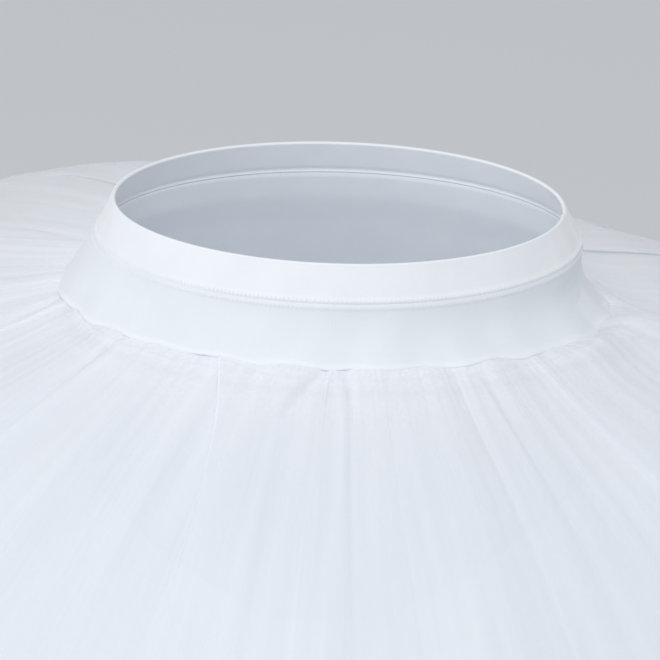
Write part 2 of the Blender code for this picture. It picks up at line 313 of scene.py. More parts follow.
class Shader:
    """A material's node tree, and the one way in which nodes are added to it."""

    def __init__(self, name: str) -> None:
        """Starts a material that holds only its output."""
        self.material = bpy.data.materials.new(name)
        self.material.use_nodes = True
        self.tree = self.material.node_tree
        self.tree.nodes.clear()

    def node(
        self,
        kind: str,
        settings: dict[str, object] | None = None,
        sockets: dict[str | int, object] | None = None,
    ) -> bpy.types.Node:
        """Adds a node, sets its settings, then gives its sockets values or links.

        Args:
            kind: Blender's type of node.
            settings: Properties of the node, set first.
            sockets: Values, or wrapped sockets to link, by input name or number.

        Returns:
            The node.
        """
        node = self.tree.nodes.new(kind)
        for key, value in (settings or {}).items():
            setattr(node, key, value)
        for key, value in (sockets or {}).items():
            if isinstance(value, Socket):
                self.tree.links.new(value.socket, node.inputs[key])
            else:
                node.inputs[key].default_value = value
        return node

    def out(self, node: bpy.types.Node, key: str | int = 0) -> Socket:
        """Wraps one of a node's outputs."""
        return Socket(self, node.outputs[key])

    def math(self, operation: str, *values: object) -> Socket:
        """Adds a Math node on values and wrapped sockets."""
        sockets = dict(enumerate(values))
        return self.out(self.node("ShaderNodeMath", {"operation": operation}, sockets))

    def cloth_place(self) -> tuple[Socket, Socket]:
        """The piece's own cloth position, in metres.

        Returns:
            How far round the body, and how far down the piece.
        """
        uv = self.node("ShaderNodeUVMap", {"uv_map": "cloth"})
        split = self.node("ShaderNodeSeparateXYZ", None, {0: self.out(uv)})
        return self.out(split, 0), self.out(split, 1)

    def noise(self, scale: float, detail: float) -> Socket:
        """Noise on object coordinates.

        Args:
            scale: Waves for each metre.
            detail: Octaves of finer noise.

        Returns:
            Noise from 0 to 1.
        """
        place = self.node("ShaderNodeTexCoord")
        sockets = {"Vector": self.out(place, "Object"), "Scale": scale, "Detail": detail}
        return self.out(self.node("ShaderNodeTexNoise", None, sockets))

    def cloth_noise(self, around: float, down: float, detail: float) -> Socket:
        """Noise on the cloth position, with its own scale each way.

        Args:
            around: Waves for each metre round the body.
            down: Waves for each metre down the piece.
            detail: Octaves of finer noise.

        Returns:
            Noise from 0 to 1.
        """
        uv = self.node("ShaderNodeUVMap", {"uv_map": "cloth"})
        mapping = self.node(
            "ShaderNodeMapping", None, {"Vector": self.out(uv), "Scale": (around, down, 1.0)}
        )
        sockets = {"Vector": self.out(mapping), "Scale": 1.0, "Detail": detail}
        return self.out(self.node("ShaderNodeTexNoise", None, sockets))

    def relief(self, height: Socket, strength: float, distance: float) -> Socket:
        """Normal of a fine relief.

        Args:
            height: Height of the relief, from 0 to about 1.
            strength: Share of the relief that shows.
            distance: Metres for each unit of height.

        Returns:
            The normal.
        """
        sockets = {"Strength": strength, "Distance": distance, "Height": height}
        return self.out(self.node("ShaderNodeBump", None, sockets))

    def blend(self, share: Socket, low: Socket | tuple[float, ...], high: tuple[float, ...]) -> Socket:
        """Mixes two colours by a share from 0 to 1."""
        mix = self.node("ShaderNodeMix", {"data_type": "RGBA"}, {0: share, 6: low, 7: high})
        return self.out(mix, 2)

    def finish(self, principled: dict[str, object]) -> bpy.types.Material:
        """Ends the material in one Principled shader.

        Args:
            principled: Values and wrapped sockets of the shader, by input name.

        Returns:
            The material.
        """
        shader = self.node("ShaderNodeBsdfPrincipled", None, principled)
        self.node("ShaderNodeOutputMaterial", None, {0: self.out(shader)})
        return self.material


class Socket:
    """An output socket that Python's operators turn into Math nodes."""

    def __init__(self, shader: Shader, socket: bpy.types.NodeSocket) -> None:
        """Keeps the shader that the socket belongs to."""
        self.shader = shader
        self.socket = socket

    def __add__(self, other: object) -> Socket:
        """Sum."""
        return self.shader.math("ADD", self, other)

    def __radd__(self, other: object) -> Socket:
        """Sum, reflected."""
        return self.shader.math("ADD", other, self)

    def __sub__(self, other: object) -> Socket:
        """Difference."""
        return self.shader.math("SUBTRACT", self, other)

    def __rsub__(self, other: object) -> Socket:
        """Difference, reflected."""
        return self.shader.math("SUBTRACT", other, self)

    def __mul__(self, other: object) -> Socket:
        """Product."""
        return self.shader.math("MULTIPLY", self, other)

    def __rmul__(self, other: object) -> Socket:
        """Product, reflected."""
        return self.shader.math("MULTIPLY", other, self)

    def cos(self) -> Socket:
        """Cosine."""
        return self.shader.math("COSINE", self)

    def sin(self) -> Socket:
        """Sine."""
        return self.shader.math("SINE", self)

    def exp(self) -> Socket:
        """Exponential."""
        return self.shader.math("EXPONENT", self)

    def smooth(self, low: float, high: float) -> Socket:
        """Share that eases from 0 to 1.

        Args:
            low: Value at which the share is 0.
            high: Value at which it is 1.

        Returns:
            The share.
        """
        settings = {"interpolation_type": "SMOOTHSTEP"}
        sockets = {"Value": self, "From Min": low, "From Max": high}
        return self.shader.out(self.shader.node("ShaderNodeMapRange", settings, sockets))


@dataclass(frozen=True)
class KnitFinish:
    """Smooth stretch knit: fine columns of stitches, a soft fibre blur and a faint sheen."""

    name: str
    light: tuple[float, float, float, float]
    dark: tuple[float, float, float, float]
    column: float = 0.75 * MM
    course: float = 0.6 * MM
    course_bend: float = 0.9
    relief_share: float = 0.22
    relief_depth: float = 0.25 * MM
    fibre_scale: float = 900.0
    shade_scale: float = 38.0
    roughness: float = 0.72
    specular: float = 0.3
    sheen: float = 0.25
    sheen_roughness: float = 0.4
    stitches_round: float = 0.0
    stitches_from: float = 0.0
    stitches_to: float = 0.0
    stitches_fade: float = 0.4 * MM
    stitches_height: float = 0.35
    # Line from which the turned hem is lighter, and its colour: partly doubled fabric, partly a painted
    # highlight along the rim
    hem_from: float = 0.0
    hem_and_highlight: tuple[float, float, float, float] = (1.0, 1.0, 1.0, 1.0)

    def material(self) -> bpy.types.Material:
        """Stitches as low relief: columns of V shapes, bent by a wave down each column.

        The pull of a row of seam stitches is a cosine round the body between two lines, and from a line down
        a turned hem is lighter: partly its doubled fabric, partly a painted highlight along the rim.

        Returns:
            The material.
        """
        shader = Shader(self.name)
        across, down = shader.cloth_place()
        column = across * (FULL_TURN / self.column)
        course = down * (FULL_TURN / self.course)
        stitches = (column + course.sin() * self.course_bend).cos() * 0.6 + course.cos() * column.cos() * 0.4
        fibre = shader.noise(self.fibre_scale, 3.0)
        soft = shader.noise(self.shade_scale, 2.0)
        height = stitches * 0.5 + fibre * 0.7
        if self.stitches_round:
            fade = self.stitches_fade
            row = down.smooth(self.stitches_from - fade, self.stitches_from + fade)
            row = row * (1 - down.smooth(self.stitches_to - fade, self.stitches_to + fade))
            height = height + (across * self.stitches_round).cos() * row * self.stitches_height
        shade = (soft * 0.75 + fibre * 0.25).smooth(0.3, 0.7)
        colour = shader.blend(shade, self.dark, self.light)
        # Painted highlight: the turned hem is lighter, partly for its doubled fabric and partly to paint the
        # bright line of light along its rim
        if self.hem_from:
            turned = down.smooth(self.hem_from - 1.4 * MM, self.hem_from + 1.0 * MM)
            colour = shader.blend(turned, colour, self.hem_and_highlight)
        return shader.finish({
            "Base Color": colour,
            "Roughness": self.roughness,
            "Sheen Weight": self.sheen,
            "Sheen Roughness": self.sheen_roughness,
            "Specular IOR Level": self.specular,
            "Normal": shader.relief(height, self.relief_share, self.relief_depth),
        })


@dataclass(frozen=True)
class NetFinish:
    """Soft fine net with six-sided holes, whose threads lie closer where it is gathered."""

    name: str
    colour: tuple[float, float, float, float]
    shade: tuple[float, float, float, float]
    hole: float = 1.05 * MM
    cover: float = 0.38
    thread_gain: float = 0.05
    seam_gain: float = 0.43
    seam_reach: float = 70.0 * MM
    # Whiter colour at the seam: partly denser gathers, partly painted light against the shade under the
    # basque's edge
    seam_white_and_painted_light: tuple[float, float, float, float] = (0.91, 0.94, 1.0, 1.0)
    streak_gain: float = 0.19
    tuft_gain: float = 0.3
    tuft_relief: float = 1.2
    tuft_reach: float = 22.0 * MM
    relief_share: float = 0.25
    relief_depth: float = 0.5 * MM
    roughness: float = 0.6
    specular: float = 0.15
    sheen: float = 0.2
    sheen_roughness: float = 0.5

    def material(self) -> bpy.types.Material:
        """Threads where three cosines at 60 degrees to each other are low together; more cover at the seam.

        The cover is a sum: an even share, the threads, an exponential that fades away from the seam, long
        streaks down the net, and tufts that fade sooner than the seam's share does. The same exponential
        whitens the colour towards the seam, partly for the denser gathers and partly as painted light that
        lifts the shade under the basque's edge.

        Returns:
            The material.
        """
        shader = Shader(self.name)
        across, down = shader.cloth_place()
        pitch = FULL_TURN / self.hole
        ways = [(math.cos(angle), math.sin(angle)) for angle in (0.0, math.pi / 3, 2 * math.pi / 3)]
        waves = [((across * way[0] + down * way[1]) * pitch).cos() for way in ways]
        threads = (waves[0] + waves[1] + waves[2]).smooth(0.4, -1.2)
        seam = (down * (-1.0 / self.seam_reach)).exp()
        streaks = shader.cloth_noise(60.0, 3.5, 3.0) - 0.5
        tufts = (shader.cloth_noise(150.0, 330.0, 3.0) - 0.5) * (down * (-1.0 / self.tuft_reach)).exp()
        cover = self.cover + threads * self.thread_gain + seam * self.seam_gain
        cover = cover + streaks * self.streak_gain + tufts * self.tuft_gain
        tint = shader.cloth_noise(18.0, 9.0, 2.0).smooth(0.3, 0.7)
        crumple = shader.cloth_noise(220.0, 14.0, 3.0) + tufts * self.tuft_relief
        colour = shader.blend(tint, self.shade, self.colour)
        return shader.finish({
            # Painted light: whitens the net towards the seam, partly for its denser gathers, partly to lift
            # the shade under the basque's edge
            "Base Color": shader.blend(seam, colour, self.seam_white_and_painted_light),
            "Roughness": self.roughness,
            "Specular IOR Level": self.specular,
            "Sheen Weight": self.sheen,
            "Sheen Roughness": self.sheen_roughness,
            "Alpha": shader.math("MINIMUM", cover, 1.0),
            "Normal": shader.relief(crumple, self.relief_share, self.relief_depth),
        })


@dataclass(frozen=True)
class ThreadFinish:
    """Sewing thread with a fine twist and a slight gloss."""

    name: str
    colour: tuple[float, float, float, float]
    shade: float = 0.93
    roughness: float = 0.5
    twist_scale: float = 2500.0
    tone_scale: float = 300.0

    def material(self) -> bpy.types.Material:
        """Fine noise as the twist's relief, and slower noise between the colour and its shade.

        Returns:
            The material.
        """
        shader = Shader(self.name)
        twist = shader.noise(self.twist_scale, 1.0)
        tone = shader.noise(self.tone_scale, 1.0).smooth(0.3, 0.7)
        dark = tuple(self.shade * part for part in self.colour[:3]) + (1.0,)
        return shader.finish({
            "Base Color": shader.blend(tone, dark, self.colour),
            "Roughness": self.roughness,
            "Normal": shader.relief(twist, 0.3, 0.1 * MM),
        })


class White(Enum):
    """The tutu's whites, light and shaded, as linear colours."""

    BAND = (0.81, 0.84, 0.88, 1.0)
    BAND_SHADE = (0.785, 0.817, 0.86, 1.0)
    BASQUE = (0.76, 0.80, 0.848, 1.0)
    BASQUE_SHADE = (0.735, 0.777, 0.828, 1.0)
    # Turned hem: lighter partly for its doubled fabric, partly as a painted highlight along the rim
    HEM_AND_HIGHLIGHT = (0.78, 0.82, 0.866, 1.0)
    NET = (0.90, 0.93, 0.985, 1.0)
    NET_SHADE = (0.875, 0.91, 0.975, 1.0)
    THREAD = (0.83, 0.86, 0.90, 1.0)


BAND_KNIT = KnitFinish(
    "band_knit", White.BAND.value, White.BAND_SHADE.value, stitches_round=STITCHES * FULL_TURN / BAND_GIRTH,
    stitches_from=-4.2 * MM, stitches_to=-0.6 * MM,
)
BASQUE_KNIT = KnitFinish(
    "basque_knit", White.BASQUE.value, White.BASQUE_SHADE.value,
    stitches_round=STITCHES * FULL_TURN / BASQUE_GIRTH, stitches_from=0.6 * MM, stitches_to=3.6 * MM,
    hem_from=32.4 * MM, hem_and_highlight=White.HEM_AND_HIGHLIGHT.value,
)
BRIEFS_KNIT = KnitFinish("briefs_knit", White.BASQUE.value, White.BASQUE_SHADE.value, sheen=0.15)
SOFT_NET = NetFinish("soft_net", White.NET.value, White.NET_SHADE.value)
WHITE_THREAD = ThreadFinish("white_thread", White.THREAD.value)


def dress(
    piece: bpy.types.Object, material: bpy.types.Material, replaced: str | None = None
) -> bpy.types.Object:
    """Gives a piece its material and its body, and hides the CAD node that it stands for, if any.

    Args:
        piece: The piece.
        material: Its material.
        replaced: The CAD node that it replaces.

    Returns:
        The same piece.
    """
    piece.data.materials.append(material)
    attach(piece, BODY)
    if replaced:
        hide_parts(replaced)
    return piece


# ----------------------------------------------------------------------------------------------------------
# Sub-assemblies
# ----------------------------------------------------------------------------------------------------------


@dataclass(frozen=True)
class Figure:
    """Lines round the body that several pieces share."""

    waist_width: float = 130.0 * MM
    waist_depth: float = 93.5 * MM
    foot_width: float = 140.5 * MM
    foot_depth: float = 101.0 * MM
    band_height: float = 21.3 * MM
    band_tilt: float = 0.8 * MM
    edge_width: float = 160.7 * MM
    edge_depth: float = 114.5 * MM
    edge_below: float = 53.1 * MM
    edge_tilt: float = 0.8 * MM
    edge_side_dip: float = 3.4 * MM
    edge_left_dip: float = 5.0 * MM
    edge_dip_deg: float = 105.0
    edge_dip_spread_deg: float = 30.0
    edge_left_tuck: float = 5.0 * MM
    edge_tuck_deg: float = 115.0
    edge_tuck_spread_deg: float = 35.0
    scallop_depth: float = 1.05 * MM
    seam_ease: float = 0.85
    seam_ease_deg: float = -72.0
    seam_ease_spread_deg: float = 42.0
    # Sections of the briefs: distance below the waist, half width, front depth and back depth, in mm
    briefs: tuple[tuple[float, float, float, float], ...] = (
        (20.0, 137.9, 98.8, 98.8),
        (38.0, 140.4, 101.0, 101.6),
        (55.0, 147.5, 104.5, 107.0),
        (100.0, 160.0, 108.0, 118.0),
        (150.0, 166.0, 104.0, 124.0),
        (200.0, 161.0, 90.0, 117.0),
        (235.0, 150.0, 72.0, 98.0),
    )

    def band_foot(self, turn: np.ndarray) -> np.ndarray:
        """How far below the waist the band's lower edge lies: a little higher at the wearer's left."""
        return self.band_height - self.band_tilt * np.sin(turn)

    def basque_edge(self, turn: np.ndarray) -> np.ndarray:
        """How far below the waist the basque's lower edge lies.

        A sine tilts it, the fourth power of the sine dips it at both sides, and a bell dips it further at
        the wearer's left.

        Args:
            turn: Turns round the body.

        Returns:
            Distances below the waist.
        """
        spread = self.edge_dip_spread_deg
        left = self.edge_left_dip * bump(degrees_away(turn, self.edge_dip_deg), spread, spread)
        sides = self.edge_side_dip * np.sin(turn) ** 4
        return self.edge_below + self.edge_tilt * np.sin(turn) + sides + left

    def tuck(self, turn: np.ndarray) -> np.ndarray:
        """How far the basque's lower edge is drawn in, as a bell round the wearer's left hip."""
        spread = self.edge_tuck_spread_deg
        return self.edge_left_tuck * bump(degrees_away(turn, self.edge_tuck_deg), spread, spread)

    def seam_pull(self, turn: np.ndarray) -> np.ndarray:
        """How firmly the seam pulls its ridges and its groove: less at the wearer's right, by a bell."""
        spread = self.seam_ease_spread_deg
        return 1.0 - self.seam_ease * bump(degrees_away(turn, self.seam_ease_deg), spread, spread)

    def scallops(self, turn: np.ndarray) -> np.ndarray:
        """How far the basque's edge swings down and outwards: two sines of uneven phase, and more."""
        waves = 0.6 * np.sin(17 * turn + 0.8 * np.sin(3 * turn)) + 0.4 * np.sin(26 * turn + 1.3)
        return self.scallop_depth * (waves + 0.1 * uneven(turn, 21, 30, 70))

    def on_briefs(self, turn: np.ndarray, below: np.ndarray, outwards: float = 0.0) -> np.ndarray:
        """Points on the briefs' outer face, interpolated between their sections and moved outwards.

        Args:
            turn: Turns round the body.
            below: Distances below the waist.
            outwards: Distance off the briefs.

        Returns:
            The points.
        """
        table = np.array(self.briefs) * MM
        half_width, front, back = (np.interp(below, table[:, 0], table[:, part]) for part in (1, 2, 3))
        return oval(turn, half_width + outwards, front + outwards, back + outwards, below)


@dataclass
class Waistband:
    """Strip of firm knit folded over elastic, with a rounded ridge above its seam and a side join."""

    figure: Figure
    wall: float = 2.5 * MM
    columns: int = 720
    rows: int = 40
    ridge: float = 0.55 * MM
    ridge_above_foot: float = 2.1 * MM
    ridge_reach: float = 1.3 * MM
    groove: float = 0.5 * MM
    groove_reach: float = 0.7 * MM
    softness: float = 0.22 * MM
    join_turn_deg: float = 86.0
    join_width_deg: float = 0.45
    join_depth: float = 0.5 * MM
    lap_height: float = 0.5 * MM
    lap_behind_deg: float = 1.6
    fold_rows: int = 9

    def outer(self, turn: np.ndarray, above_foot: np.ndarray, lift: float = 0.0) -> np.ndarray:
        """Points of the band's outer face, at heights above its lower edge.

        The face runs straight from the waist to the foot. Added to it are a ridge above the seam, a dip into
        the seam itself, slow unevenness from the stretch, and the side join's groove with a step beside it.

        Args:
            turn: Turns round the body.
            above_foot: Heights above the lower edge.
            lift: Distance to move the points outwards.

        Returns:
            The points.
        """
        foot = self.figure.band_foot(turn)
        share = 1.0 - above_foot / foot
        ridge = self.ridge * np.exp(-(((above_foot - self.ridge_above_foot) / self.ridge_reach) ** 2))
        groove = self.groove * np.exp(-((above_foot / self.groove_reach) ** 2))
        middle = np.sin(math.pi * np.clip(above_foot / foot, 0.0, 1.0))
        soft = self.softness * middle * (0.6 * uneven(turn, 11, 3, 14) + 0.4 * uneven(turn, 12, 20, 60))
        away = degrees_away(turn, self.join_turn_deg)
        join = -self.join_depth * bump(away, self.join_width_deg, self.join_width_deg)
        join += self.lap_height * bump(away - self.lap_behind_deg, 0.8, 2.2)
        out = (ridge - groove) * self.figure.seam_pull(turn) + soft + join + lift
        width = self.figure.waist_width + (self.figure.foot_width - self.figure.waist_width) * share + out
        depth = self.figure.waist_depth + (self.figure.foot_depth - self.figure.waist_depth) * share + out
        return oval(turn, width, depth, depth, foot - above_foot)

    def build(self) -> bpy.types.Object:
        """Band as one closed wall: outer face up, round over the fold, and down inside.

        Returns:
            The band.
        """
        turn = turns(self.columns)[None, :]
        foot = self.figure.band_foot(turn)
        radius = self.wall / 2
        eased = (1 - np.cos(np.linspace(0.0, math.pi, self.rows))) / 2
        up = eased[:, None] * (foot - radius)
        outer = self.outer(turn, up)
        angle = np.linspace(0.0, math.pi, self.fold_rows + 2)[1:-1, None]
        centre = self.outer(turn, foot - radius, -radius)
        way = np.stack([np.sin(turn), -np.cos(turn), np.zeros_like(turn)], axis=-1)
        rise = np.array([0.0, 0.0, 1.0])
        fold = centre + radius * (np.cos(angle)[..., None] * way + np.sin(angle)[..., None] * rise)
        inner = self.outer(turn, up[::-1], -self.wall)
        rings = np.concatenate([outer, fold, inner])[::-1]
        top = np.broadcast_to(foot, (self.fold_rows, up.shape[1]))
        height = np.concatenate([up, top, up[::-1]])[::-1]
        return round_mesh("waistband_cloth", rings, turn / FULL_TURN * BAND_GIRTH, -height, closed=True)


@dataclass
class Basque:
    """Flared yoke with a ridge below the band, soft drags towards its scalloped, rolled edge."""

    figure: Figure
    wall: float = 1.2 * MM
    gap: float = 0.3 * MM
    columns: int = 720
    rows: int = 56
    flare_power: float = 2.0
    flare_power_swing: float = 1.0
    roll_half_wall: float = 0.9 * MM
    roll_reach: float = 1.2 * MM
    roll_rows: int = 6
    flick: float = 0.6 * MM
    flick_reach: float = 2.2 * MM
    hollow: float = 2.2 * MM
    hollow_deg: float = 78.0
    hollow_front_deg: float = 18.0
    hollow_back_deg: float = 10.0
    hollow_share: float = 0.28
    ridge: float = 0.35 * MM
    ridge_below: float = 1.9 * MM
    ridge_reach: float = 1.0 * MM
    seam_dip: float = 0.35 * MM
    seam_dip_reach: float = 0.7 * MM
    drag: float = 0.9 * MM
    mean_length: float = 34.0 * MM

    def middle(self, turn: np.ndarray, share: np.ndarray, lift: float = 0.0) -> np.ndarray:
        """Points of the basque's middle at shares of its depth.

        Its width grows with a power of the share, which a sine makes higher at the wearer's left. Scallops
        grow towards the edge with the fourth power, and the drags with the second. A narrow dip lies at the
        seam and a low ridge just below it, the last few millimetres flick outwards, and the wearer's left
        side is a little hollow and tucked in.

        Args:
            turn: Turns round the body.
            share: Share of the depth, from 0 at the band to 1 at the edge.
            lift: Distance to move the points outwards.

        Returns:
            The points.
        """
        figure = self.figure
        top = figure.band_foot(turn) + self.gap
        length = figure.basque_edge(turn) - top
        down = share * length
        flare = share ** (self.flare_power + self.flare_power_swing * np.sin(turn))
        scallop = figure.scallops(turn) * share**4
        drag = self.drag * share**2 * (0.7 * uneven(turn, 22, 9, 26) + 0.12 * uneven(turn, 23, 30, 60))
        ridge = self.ridge * np.exp(-(((down - self.ridge_below) / self.ridge_reach) ** 2))
        dip = self.seam_dip * np.exp(-((down / self.seam_dip_reach) ** 2))
        flick = self.flick * np.exp(-(((1 - share) * length / self.flick_reach) ** 2))
        side = bump(degrees_away(turn, self.hollow_deg), self.hollow_front_deg, self.hollow_back_deg)
        hollow = self.hollow * side * np.exp(-(((share - 0.5) / self.hollow_share) ** 2))
        out = drag + (ridge - dip) * figure.seam_pull(turn) + flick - hollow + lift - self.wall / 2
        tuck = figure.tuck(turn)
        width = figure.foot_width + (figure.edge_width - tuck - figure.foot_width) * flare + scallop + out
        depth = figure.foot_depth + (figure.edge_depth - tuck - figure.foot_depth) * flare + out
        return oval(turn, width, depth, depth, top + length * share + scallop)

    def build(self) -> bpy.types.Object:
        """Basque as a closed wall that thickens into a roll at its lower edge.

        Returns:
            The basque.
        """
        turn = turns(self.columns)[None, :]
        share = np.linspace(0.0, 1.0, self.rows)[:, None] ** 0.9
        middle = self.middle(turn, share)
        roll = np.exp(-(((1 - share) * self.mean_length / self.roll_reach) ** 2))
        half_wall = self.wall / 2 + (self.roll_half_wall - self.wall / 2) * roll
        around = turn / FULL_TURN * BASQUE_GIRTH
        down = share * self.mean_length
        return rounded_wall("basque_cloth", middle, half_wall, around, down, self.roll_rows)


@dataclass
class CoverStitch:
    """Two rows of thread bars that bridge the seam between band and basque."""

    band: Waistband
    basque: Basque
    count: int = STITCHES
    thread_radius: float = 0.17 * MM
    upper: tuple[float, float] = (0.7 * MM, 3.6 * MM)
    lower: tuple[float, float] = (0.6 * MM, 3.0 * MM)
    slant: float = 0.0012
    straying: float = 0.0006
    thickness: tuple[float, ...] = (0.3, 0.95, 1.0, 1.0, 0.95, 0.3)
    sides: int = 5

    def build(self) -> list[bpy.types.Object]:
        """Upper bars on the band and lower bars on the basque, each a short arch that dips in at both ends.

        Returns:
            The two rows.
        """
        figure = self.basque.figure
        turn = (np.arange(self.count) * FULL_TURN / self.count)[:, None]
        turn = turn + self.straying * uneven(turn, 31, 40, 160)
        steps = np.linspace(0.0, 1.0, len(self.thickness))[None, :]
        sink = self.thread_radius * (1.1 - 1.7 * np.sin(math.pi * steps))
        radius = self.thread_radius * np.array(self.thickness)
        heights = self.upper[0] + (self.upper[1] - self.upper[0]) * steps
        slant = self.slant * (steps - 0.5)
        upper = self.band.outer(turn + slant, heights, -sink)
        length = figure.basque_edge(turn) - figure.band_foot(turn) - self.basque.gap
        shares = (self.lower[0] + (self.lower[1] - self.lower[0]) * steps) / length
        lower = self.basque.middle(turn - slant, shares, self.basque.wall / 2 - sink)
        out = np.stack(np.broadcast_arrays(np.sin(turn), -np.cos(turn), 0.0 * turn), axis=-1)
        return [
            tubes(name, paths, radius, np.broadcast_to(out, paths.shape), self.sides)
            for name, paths in (("seam_stitches_upper", upper), ("seam_stitches_lower", lower))
        ]


@dataclass
class Briefs:
    """Plain briefs inside the basque: a body down to the leg line, a gusset, and a bound leg edge."""

    figure: Figure
    wall: float = 1.0 * MM
    columns: int = 360
    rows: int = 60
    leg_side: float = 138.0 * MM
    leg_front: float = 218.0 * MM
    leg_back: float = 226.0 * MM
    leg_power: float = 1.5
    gusset_turn_deg: float = 18.0
    gusset_rows: int = 60
    gusset_drop: float = 266.0 * MM
    gusset_half_width: float = 36.0 * MM
    binding_radius: float = 1.6 * MM
    binding_points: int = 320
    binding_sides: int = 10
    binding_length: float = 0.55
    binding_width: float = 10.0 * MM
    top_gap: float = 0.3 * MM

    def leg_line(self, turn: np.ndarray) -> np.ndarray:
        """How far below the waist the briefs end: high at the sides, low where the gusset starts.

        Between the two the line falls with a power of the cosine's size.

        Args:
            turn: Turns round the body.

        Returns:
            Distances below the waist.
        """
        from_side = np.abs(np.cos(turn)) / math.cos(math.radians(self.gusset_turn_deg))
        low = np.where(np.cos(turn) > 0, self.leg_front, self.leg_back)
        return self.leg_side + (low - self.leg_side) * np.minimum(from_side, 1.0) ** (2 * self.leg_power)

    def gusset(self, front: np.ndarray, back: np.ndarray) -> np.ndarray:
        """Gusset between its front and back edges: the straight blend of the two, dipped and narrowed.

        Args:
            front: Points of the front edge.
            back: Points of the back edge.

        Returns:
            Rows of points without the two edges.
        """
        share = np.linspace(0.0, 1.0, self.gusset_rows + 1)[1:-1, None, None]
        bend = np.sin(math.pi * share)
        rows = front * (1 - share) + back * share
        half = np.abs(rows[:, :1, :1])
        rows[..., :1] *= 1 + (self.gusset_half_width / half - 1) * bend**0.7
        rows[..., 2:] -= (self.gusset_drop + rows[..., 2:]) * bend**0.8
        return rows

    def build(self) -> list[bpy.types.Object]:
        """Briefs as one thickened surface, and the binding round each leg.

        Returns:
            The briefs' cloth and the two bindings.
        """
        turn = turns(self.columns)[:-1]
        top = self.figure.band_foot(turn) + self.top_gap
        share = np.linspace(0.0, 1.0, self.rows + 1)[:, None]
        below = top + (self.leg_line(turn) - top) * share
        body = self.figure.on_briefs(np.broadcast_to(turn, below.shape), below)
        half = round(self.columns * self.gusset_turn_deg / 360.0)
        front = np.arange(-half, half + 1) % self.columns
        back = self.columns // 2 - np.arange(-half, half + 1)
        strip = self.gusset(body[-1, front], body[-1, back])
        points = np.concatenate([body.reshape(-1, 3), strip.reshape(-1, 3)])
        ring = np.arange(body.shape[0] * self.columns).reshape(body.shape[0], self.columns)
        beside = np.roll(ring, -1, axis=1)
        quads = np.stack([ring[:-1], ring[1:], beside[1:], beside[:-1]], axis=-1).reshape(-1, 4)
        free = ring.size + np.arange(strip.shape[0] * strip.shape[1]).reshape(strip.shape[:2])
        rows = np.concatenate([ring[-1, front][None], free, ring[-1, back][None]])
        crotch = np.stack([rows[:-1, :-1], rows[1:, :-1], rows[1:, 1:], rows[:-1, 1:]], axis=-1)
        quads = np.concatenate([quads, crotch.reshape(-1, 4)])
        corners = points[quads]
        around = np.arctan2(corners[..., 0], -corners[..., 1]) * BRIEFS_GIRTH / FULL_TURN
        uv = np.stack([around, corners[..., 2]], axis=-1)
        cloth = quad_mesh("briefs_cloth", points, quads, uv)
        wall = cloth.modifiers.new("cloth thickness", "SOLIDIFY")
        wall.thickness = self.wall
        wall.offset = -1.0
        return [cloth] + [self.binding(body[-1], strip, side) for side in (-1, 1)]

    def binding(self, edge: np.ndarray, strip: np.ndarray, side: int) -> bpy.types.Object:
        """Tube round one leg edge: along the leg line over the hip and back along the gusset's side.

        Args:
            edge: Points of the leg line all round the body.
            strip: The gusset's rows.
            side: -1 for the wearer's right leg, 1 for the left.

        Returns:
            The binding.
        """
        half = round(self.columns * self.gusset_turn_deg / 360.0)
        hip = np.arange(half, self.columns // 2 - half + 1)
        leg = edge[hip] if side > 0 else edge[-hip]
        inside = strip[::-1, -1 if side > 0 else 0]
        path = np.concatenate([leg, inside])
        path = path[np.linspace(0, len(path) - 1, self.binding_points).astype(int)]
        for _ in range(6):
            path = (np.roll(path, 1, axis=0) + 2 * path + np.roll(path, -1, axis=0)) / 4
        way = np.roll(path, -1, axis=0) - np.roll(path, 1, axis=0)
        way /= np.linalg.norm(way, axis=-1, keepdims=True)
        out = path - path.mean(axis=0)
        out -= (out * way).sum(-1, keepdims=True) * way
        out /= np.linalg.norm(out, axis=-1, keepdims=True)
        lift = np.cross(way, out)
        angle = np.arange(self.binding_sides)[:, None, None] * side * FULL_TURN / self.binding_sides
        rings = path + self.binding_radius * (np.cos(angle) * out + np.sin(angle) * lift)
        closed = np.concatenate([rings, rings[:, :1]], axis=1)
        name = "leg_binding_left" if side > 0 else "leg_binding_right"
        u = np.linspace(0.0, self.binding_length, closed.shape[1])[None, :]
        v = np.linspace(0.0, self.binding_width, closed.shape[0])[:, None]
        return round_mesh(name, closed, u, v, closed=True)


@dataclass(frozen=True)
class MainFold:
    """A broad fold of the net: a ridge, or a trough where its height is negative."""

    turn_deg: float
    left_deg: float
    right_deg: float
    height: float


@dataclass(frozen=True)
class Pleat:
    """A place where the net folds back over itself, as a knife pleat does, with its crisp edge on one side.

    Its root shift is how far, in degrees, it drifts on its way up to the seam. It comes up over its rise and
    fades over its reach.
    """

    turn_deg: float
    width_deg: float
    height: float
    edge_side: int
    reach: float
    root_shift_deg: float = 0.0
    rise: float = 25.0 * MM
    fold_back: float = 2.0


@dataclass(frozen=True)
class Pucker:
    """A short trough at the seam, where the gathers open into a pocket. A depth below 0 makes a puff.

    Its slant is how far it turns, in degrees for each metre of the run. The higher its power, the closer it
    keeps to its reach.
    """

    turn_deg: float
    width_deg: float
    depth: float
    reach: float
    slant_deg: float = 0.0
    power: float = 2.0


